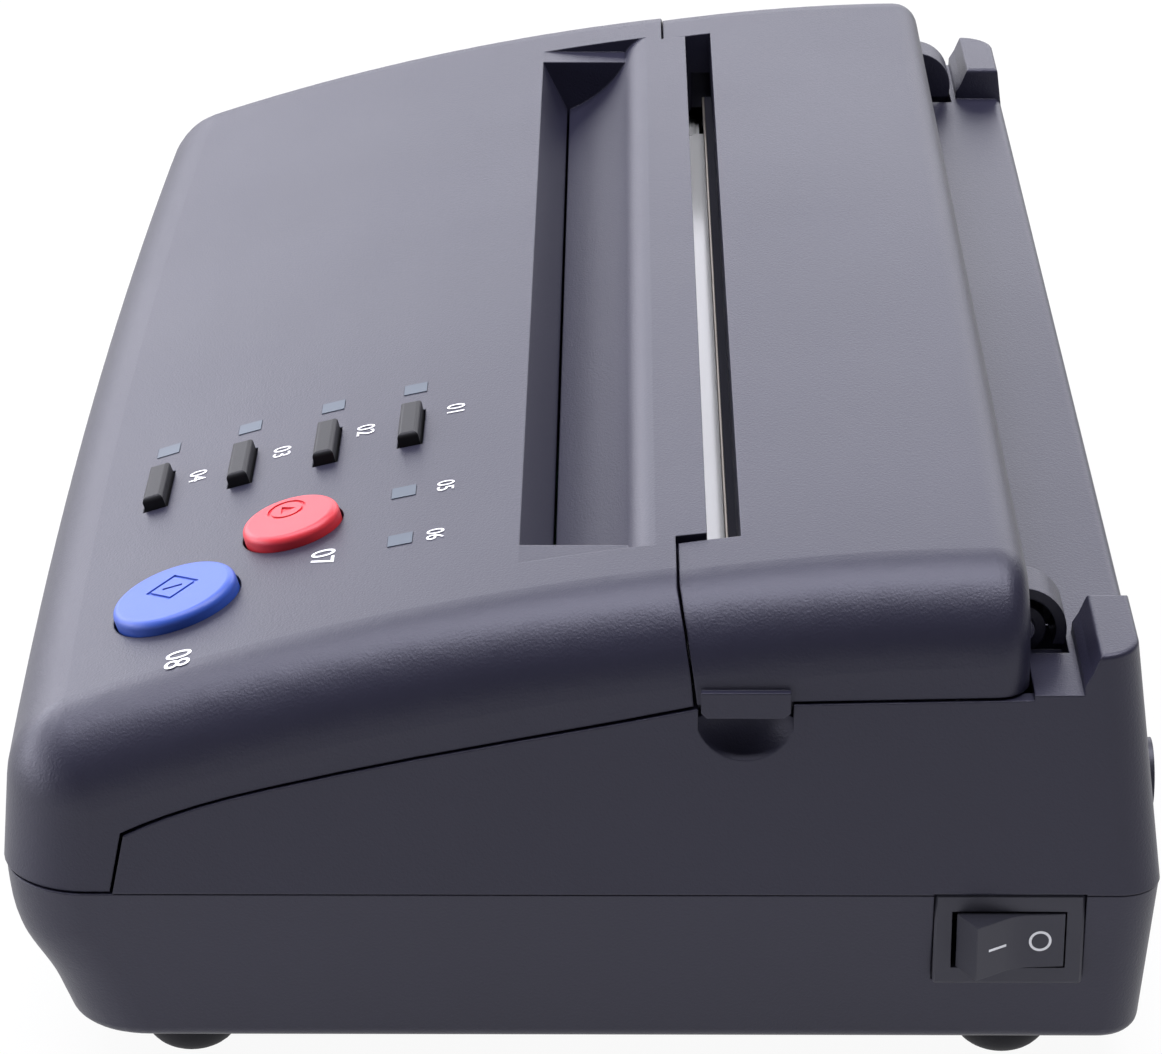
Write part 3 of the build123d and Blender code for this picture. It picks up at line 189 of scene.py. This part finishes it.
def rolled_metal(name, colour, roughness, streak=(1.0, 60.0, 60.0)):
    """Metal with fine drawn or ground streaks."""
    material, tree_nodes, links, shader = new_material(name)
    coordinates = tree_nodes.new("ShaderNodeTexCoord")
    mapping = tree_nodes.new("ShaderNodeMapping")
    mapping.inputs["Scale"].default_value = streak
    streaks = tree_nodes.new("ShaderNodeTexNoise")
    streaks.inputs["Scale"].default_value = 60.0
    streaks.inputs["Detail"].default_value = 3.0
    links.new(coordinates.outputs["Object"], mapping.inputs["Vector"])
    links.new(mapping.outputs["Vector"], streaks.inputs["Vector"])
    streak_value = streaks.outputs["Fac"]
    tone = ramp(tree_nodes, links, streak_value, tinted(colour, 0.86), tinted(colour, 1.08))
    smooth = grey(roughness - 0.06)
    matt = grey(roughness + 0.08)
    polish = ramp(tree_nodes, links, streak_value, smooth, matt)
    bump = tree_nodes.new("ShaderNodeBump")
    bump.inputs["Strength"].default_value = 0.3
    bump.inputs["Distance"].default_value = 0.00002
    links.new(streak_value, bump.inputs["Height"])
    links.new(tone.outputs["Color"], shader.inputs["Base Color"])
    links.new(polish.outputs["Color"], shader.inputs["Roughness"])
    links.new(bump.outputs["Normal"], shader.inputs["Normal"])
    shader.inputs["Metallic"].default_value = 1.0
    return material


# ------------------------------------------------------------------ finishes
case_plastic = moulded_plastic("case_charcoal_grain", (0.015, 0.0145, 0.029), 0.42, 2600.0, 0.00012)
button_black = moulded_plastic(
    "mode_button_black", (0.012, 0.012, 0.013), 0.46, 2600.0, 0.00003, specular=0.22
)
copy_blue = moulded_plastic("copy_button_blue", (0.030, 0.080, 0.40), 0.42, 2200.0, 0.00002)
stop_red = moulded_plastic("stop_button_red", (0.60, 0.030, 0.042), 0.42, 2200.0, 0.00002)
switch_black = moulded_plastic("switch_black", (0.028, 0.028, 0.038), 0.46, 2400.0, 0.00003)
lens_clear = moulded_plastic("lamp_lens", (0.030, 0.048, 0.072), 0.40, 900.0, 0.00001, 0.08)
lens_glass = moulded_plastic("scanner_glass", (0.03, 0.035, 0.035), 0.08, 900.0, 0.00001, 0.04)
print_white = moulded_plastic("printed_white", (0.78, 0.78, 0.80), 0.55, 3000.0, 0.00001, 0.02)
foot_rubber = moulded_plastic(
    "foot_rubber", (0.012, 0.012, 0.014), 0.68, 1500.0, 0.00005, specular=0.3
)
roller_rubber = moulded_plastic("roller_rubber", (0.022, 0.022, 0.022), 0.62, 3000.0, 0.00002)
bar_white = moulded_plastic("backing_bar_white", (0.88, 0.88, 0.88), 0.17, 1800.0, 0.000004, 0.01)
acetal = moulded_plastic("gear_acetal", (0.70, 0.68, 0.60), 0.40, 1500.0, 0.00001)
board_green = moulded_plastic("board_green", (0.02, 0.11, 0.045), 0.35, 700.0, 0.00002, 0.12)
part_black = moulded_plastic("component_black", (0.018, 0.018, 0.018), 0.45, 1500.0, 0.00002)
sensor_black = moulded_plastic(
    "sensor_housing", (0.022, 0.022, 0.030), 0.80, 1500.0, 0.00002, specular=0.15
)
lamp_resin = moulded_plastic("lamp_resin", (0.7, 0.7, 0.62), 0.2, 900.0, 0.00001, 0.02)
heater_ceramic = moulded_plastic("heater_ceramic", (0.62, 0.58, 0.50), 0.25, 1200.0, 0.00001, 0.04)
plate_steel = rolled_metal("zinc_sheet", (0.56, 0.57, 0.58), 0.34)
bar_steel = rolled_metal("ground_steel", (0.62, 0.62, 0.63), 0.24, (60.0, 2.0, 2.0))
motor_can = rolled_metal("motor_can", (0.42, 0.42, 0.44), 0.36)
pinion_brass = rolled_metal("pinion_brass", (0.72, 0.52, 0.22), 0.28)
heatsink_alloy = rolled_metal("heatsink_aluminium", (0.70, 0.70, 0.71), 0.32)
screw_zinc = rolled_metal("screw_zinc", (0.48, 0.48, 0.50), 0.30)
sensor_bronze = rolled_metal("sensor_edge_bronze", (0.46, 0.42, 0.38), 0.45)
spring_wire = rolled_metal("spring_wire", (0.50, 0.50, 0.50), 0.28)
tinned_brass = rolled_metal("terminal_tin", (0.66, 0.65, 0.60), 0.30)

soften_edges(case_plastic, 0.00035)
soften_edges(switch_black, 0.0002)


def dress(material, *names):
    """Give the named pieces a finish."""
    for name in names:
        for slot in nodes[name].material_slots:
            slot.material = material


dress(case_plastic, "base_shell", "body_casing", "front_cover", "lid_shell")
dress(foot_rubber, "rubber_feet")
dress(copy_blue, "copy_button")
dress(stop_red, "stop_button")
for number in range(1, 5):
    dress(button_black, "mode_button_" + str(number))
    dress(lens_clear, "mode_lens_" + str(number))
dress(lens_clear, "power_lens", "error_lens")
dress(board_green, "key_board", "main_board", "power_board")
dress(part_black, "key_switches", "main_board_parts", "power_board_parts")
dress(sensor_black, "image_sensor")
dress(lens_glass, "sensor_glass")
dress(lamp_resin, "board_lamps")
dress(plate_steel, "left_side_plate", "right_side_plate", "chassis_pan", "head_plate")
dress(bar_white, "white_backing_bar")
for roller in ("scan_roller_", "platen_roller_"):
    dress(acetal, roller + "bushes", roller + "gear")
    dress(bar_steel, roller + "shaft")
    dress(roller_rubber, roller + "rubber")
dress(acetal, "idler_gear")
dress(bar_steel, "idler_stud", "motor_shaft", "hinge_pins")
dress(pinion_brass, "motor_pinion")
dress(motor_can, "feed_motor")
dress(heatsink_alloy, "print_head_heatsink")
dress(heater_ceramic, "print_head_heater")
dress(spring_wire, "sensor_springs", "print_head_springs")
dress(screw_zinc, "head_screws", "case_screws", "frame_screws", "board_screws")
dress(switch_black, "switch_housing", "power_rocker", "power_inlet")
dress(tinned_brass, "switch_terminals")


# ------------------------------------------------------------------ printed marks and trim
def settle(piece, place, material, body):
    """Put a piece's place into its mesh and give it its finish and its body."""
    piece.data.transform(place)
    piece.data.materials.clear()
    piece.data.materials.append(material)
    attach(piece, body)


def printed_number(name, text, spot, height):
    """Number printed on the cover's crown, read from the right-hand side."""
    bpy.ops.object.select_all(action="DESELECT")
    bpy.ops.object.text_add(location=(0.0, 0.0, 0.0))
    piece = bpy.context.object
    piece.data.body = text
    piece.data.size = height * BODY_PER_HEIGHT
    piece.data.align_x = "CENTER"
    piece.data.align_y = "CENTER"
    piece.data.extrude = PRINT_THICK
    bpy.ops.object.convert(target="MESH")
    piece = bpy.context.object
    piece.name = name
    x, y = spot
    lean = Matrix.Rotation(crown_tilt(y), 4, "X")
    place = Matrix.Translation((x, y, crown_height(y) + PRINT_LIFT)) @ lean
    settle(piece, place, print_white, "chassis")


def on_rocker(along, rear):
    """Frame on a half of the rocker's face: X along the half, Z out of the face."""
    press = ROCKER_PRESS
    middle = Vector((math.cos(press), math.sin(press), 0.0)) * ROCKER_FOLD
    lean = math.pi / 2 - ROCKER_SLOPE
    turn = press + (lean if rear else -lean)
    run = Vector((math.cos(turn), math.sin(turn), 0.0))
    out = Vector((run.y, -run.x, 0.0)) if rear else Vector((-run.y, run.x, 0.0))
    basis = Matrix((run, out.cross(run), out)).transposed().to_4x4()
    spot = Vector(ROCKER_PIVOT) + middle + run * along + out * ROCKER_LIFT
    return Matrix.Translation(spot) @ basis


def eased_bar(name, size, ease):
    """Bar at the origin with small rounded edges."""
    bpy.ops.object.select_all(action="DESELECT")
    bpy.ops.mesh.primitive_cube_add(size=1.0, location=(0.0, 0.0, 0.0), scale=size)
    piece = bpy.context.object
    piece.name = name
    bpy.ops.object.transform_apply(location=False, rotation=False, scale=True)
    bpy.ops.object.mode_set(mode="EDIT")
    bpy.ops.mesh.select_all(action="SELECT")
    bpy.ops.mesh.bevel(offset=ease, segments=2, affect="EDGES")
    bpy.ops.object.mode_set(mode="OBJECT")
    return piece


def sensor_edge():
    """Bare metal edge along the front of the image sensor, at the bottom of the slot."""
    piece = eased_bar("sensor_edge_strip", EDGE_STRIP_SIZE, 0.00012)
    settle(piece, Matrix.Translation(EDGE_STRIP_PLACE), sensor_bronze, "lid")


def rocker_line():
    """On mark, printed on the front half of the rocker."""
    piece = eased_bar("rocker_on_line", LINE_SIZE, 0.00002)
    settle(piece, on_rocker(LINE_ALONG, False), print_white, "rocker")


def rocker_ring():
    """Off mark, printed on the rear half of the rocker."""
    bpy.ops.object.select_all(action="DESELECT")
    bpy.ops.mesh.primitive_circle_add(
        vertices=56, radius=RING_R, fill_type="NOTHING", location=(0.0, 0.0, 0.0)
    )
    piece = bpy.context.object
    piece.name = "rocker_off_ring"
    bpy.ops.object.mode_set(mode="EDIT")
    bpy.ops.mesh.select_all(action="SELECT")
    bpy.ops.mesh.extrude_region_move()
    bpy.ops.transform.resize(value=(RING_INNER_SHARE, RING_INNER_SHARE, 1.0))
    bpy.ops.mesh.select_all(action="SELECT")
    bpy.ops.mesh.normals_make_consistent(inside=False)
    bpy.ops.object.mode_set(mode="OBJECT")
    wall = piece.modifiers.new("print", "SOLIDIFY")
    wall.thickness = RING_THICK
    wall.offset = 0.0
    bpy.ops.object.modifier_apply(modifier="print")
    settle(piece, on_rocker(RING_ALONG, True), print_white, "rocker")


for mark in MARKS:
    printed_number(*mark)
sensor_edge()
rocker_line()
rocker_ring()


# ------------------------------------------------------------------ camera, floor and light
def add_camera():
    turn = Matrix.Rotation(CAMERA_YAW, 3, "Z")
    forward = turn @ Vector((-math.cos(CAMERA_PITCH), 0.0, -math.sin(CAMERA_PITCH)))
    upward = turn @ Vector((-math.sin(CAMERA_PITCH), 0.0, math.cos(CAMERA_PITCH)))
    right = forward.cross(upward)
    side = right * math.cos(CAMERA_ROLL) + upward * math.sin(CAMERA_ROLL)
    top = upward * math.cos(CAMERA_ROLL) - right * math.sin(CAMERA_ROLL)
    data = bpy.data.cameras.new("camera")
    data.sensor_fit = "HORIZONTAL"
    data.sensor_width = SENSOR_MM
    data.lens = LENS_MM
    data.clip_start = 0.01
    camera = bpy.data.objects.new("camera", data)
    bpy.context.scene.collection.objects.link(camera)
    basis = Matrix((side, top, -forward)).transposed().to_4x4()
    camera.matrix_world = Matrix.Translation(CAMERA_PLACE) @ basis
    bpy.context.scene.camera = camera
    bpy.context.scene.view_settings.view_transform = "Standard"


def larger(tree_nodes, links, first, second):
    """The larger of two values, for yes-or-no values a plain or."""
    node = tree_nodes.new("ShaderNodeMath")
    node.operation = "MAXIMUM"
    links.new(first, node.inputs[0])
    links.new(second, node.inputs[1])
    return node.outputs["Value"]


def add_floor():
    """Pale floor that takes the shadow and is plain white to the camera and in reflections."""
    bpy.ops.object.select_all(action="DESELECT")
    bpy.ops.mesh.primitive_plane_add(size=FLOOR_SIZE, location=(0.0, 0.0, FLOOR_Z))
    floor = bpy.context.object
    floor.name = "floor"
    material = bpy.data.materials.new("floor_pale")
    material.use_nodes = True
    tree_nodes = material.node_tree.nodes
    links = material.node_tree.links
    tree_nodes.clear()
    output = tree_nodes.new("ShaderNodeOutputMaterial")
    paint = tree_nodes.new("ShaderNodeBsdfDiffuse")
    paint.inputs["Color"].default_value = grey(FLOOR_PAINT)
    glow = tree_nodes.new("ShaderNodeEmission")
    glow.inputs["Strength"].default_value = 1.0
    seen = tree_nodes.new("ShaderNodeLightPath")
    share = tree_nodes.new("ShaderNodeMath")
    share.operation = "MULTIPLY"
    share.inputs[1].default_value = BACKGROUND_SHARE
    mix = tree_nodes.new("ShaderNodeMixShader")
    indirect = larger(
        tree_nodes, links, seen.outputs["Is Glossy Ray"], seen.outputs["Is Transmission Ray"]
    )
    background = larger(tree_nodes, links, seen.outputs["Is Camera Ray"], indirect)
    links.new(background, share.inputs[0])
    links.new(share.outputs["Value"], mix.inputs["Fac"])
    links.new(paint.outputs["BSDF"], mix.inputs[1])
    links.new(glow.outputs["Emission"], mix.inputs[2])
    links.new(mix.outputs["Shader"], output.inputs["Surface"])
    floor.data.materials.append(material)


def add_softbox(name, place, aim, width, height, watts):
    data = bpy.data.lights.new(name, "AREA")
    data.shape = "RECTANGLE"
    data.size = width
    data.size_y = height
    data.energy = watts
    data.color = LAMP_COLOUR
    lamp = bpy.data.objects.new(name, data)
    bpy.context.scene.collection.objects.link(lamp)
    lamp.location = place
    facing = Vector(aim) - Vector(place)
    lamp.rotation_euler = facing.to_track_quat("-Z", "Y").to_euler()


def add_world():
    world = bpy.data.worlds.new("studio")
    bpy.context.scene.world = world
    world.use_nodes = True
    background = world.node_tree.nodes["Background"]
    background.inputs["Color"].default_value = (0.96, 0.97, 1.0, 1.0)
    background.inputs["Strength"].default_value = WORLD_STRENGTH


add_camera()
add_floor()
add_world()
for softbox in SOFTBOXES:
    add_softbox(*softbox)
